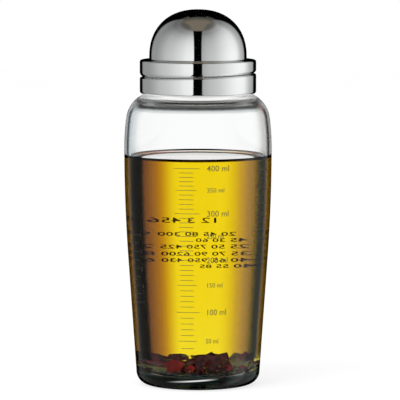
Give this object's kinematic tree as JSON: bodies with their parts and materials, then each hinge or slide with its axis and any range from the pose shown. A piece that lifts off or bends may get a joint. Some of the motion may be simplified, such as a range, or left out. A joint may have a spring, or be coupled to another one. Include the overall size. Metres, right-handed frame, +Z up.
{
  "type": "salad dressing shaker bottle",
  "caption": "Glass shaker bottle of dressing with a volume scale, a screw lid with a pouring spout, and a push-on domed steel cap.",
  "frame": {"origin": "centre of the base, on the surface that the bottle stands on", "axes": "+Z up along the bottle's axis, -Y towards the viewer and the printed scale, +X to the viewer's right"},
  "size_m": [0.0804, 0.0804, 0.205],
  "materials": {
    "clear_glass": "clear, polished",
    "dressing": "clear yellow liquid",
    "red_spice": "dried, rough",
    "dark_spice": "dried, rough",
    "green_spice": "dried, rough",
    "pale_spice": "dried, smooth",
    "polished_steel": "mirror polished stainless steel",
    "strainer_steel": "satin stainless steel",
    "white_plastic": "moulded, fine matt",
    "silicone": "translucent, matt"
  },
  "bodies": {
    "bottle": {"glass_bottle": "clear_glass", "oil_dressing": "dressing", "chili_flakes": "red_spice", "dark_herbs": "dark_spice", "green_herbs": "green_spice", "spice_seeds": "pale_spice"},
    "gasket": {"neck_gasket": "silicone"},
    "lid": {"collar_shell": "polished_steel", "screw_ring": "white_plastic", "pour_insert": "white_plastic", "neck_plug": "white_plastic", "strainer": "strainer_steel", "cap_grip_ring": "silicone"},
    "cap": {"cap_shell": "polished_steel", "cap_liner": "white_plastic", "seal_hub": "white_plastic", "spout_seal": "silicone"}
  },
  "joints": [
    {"name": "lid_rise", "type": "slide", "parent": "bottle", "child": "gasket", "axis": [0, 0, 1], "range_m": [0, 0.012]},
    {"name": "lid_turn", "type": "hinge", "parent": "gasket", "child": "lid", "pos_m": [0, 0, 0.1672], "axis": [0, 0, 1], "range_deg": [0, 540]},
    {"name": "cap_lift", "type": "slide", "parent": "lid", "child": "cap", "axis": [0, 0, 1], "range_m": [0, 0.045]}
  ],
  "couplings": [
    {"joint": "lid_rise", "follows": "lid_turn", "m_per_rad": 0.0012732}
  ]
}
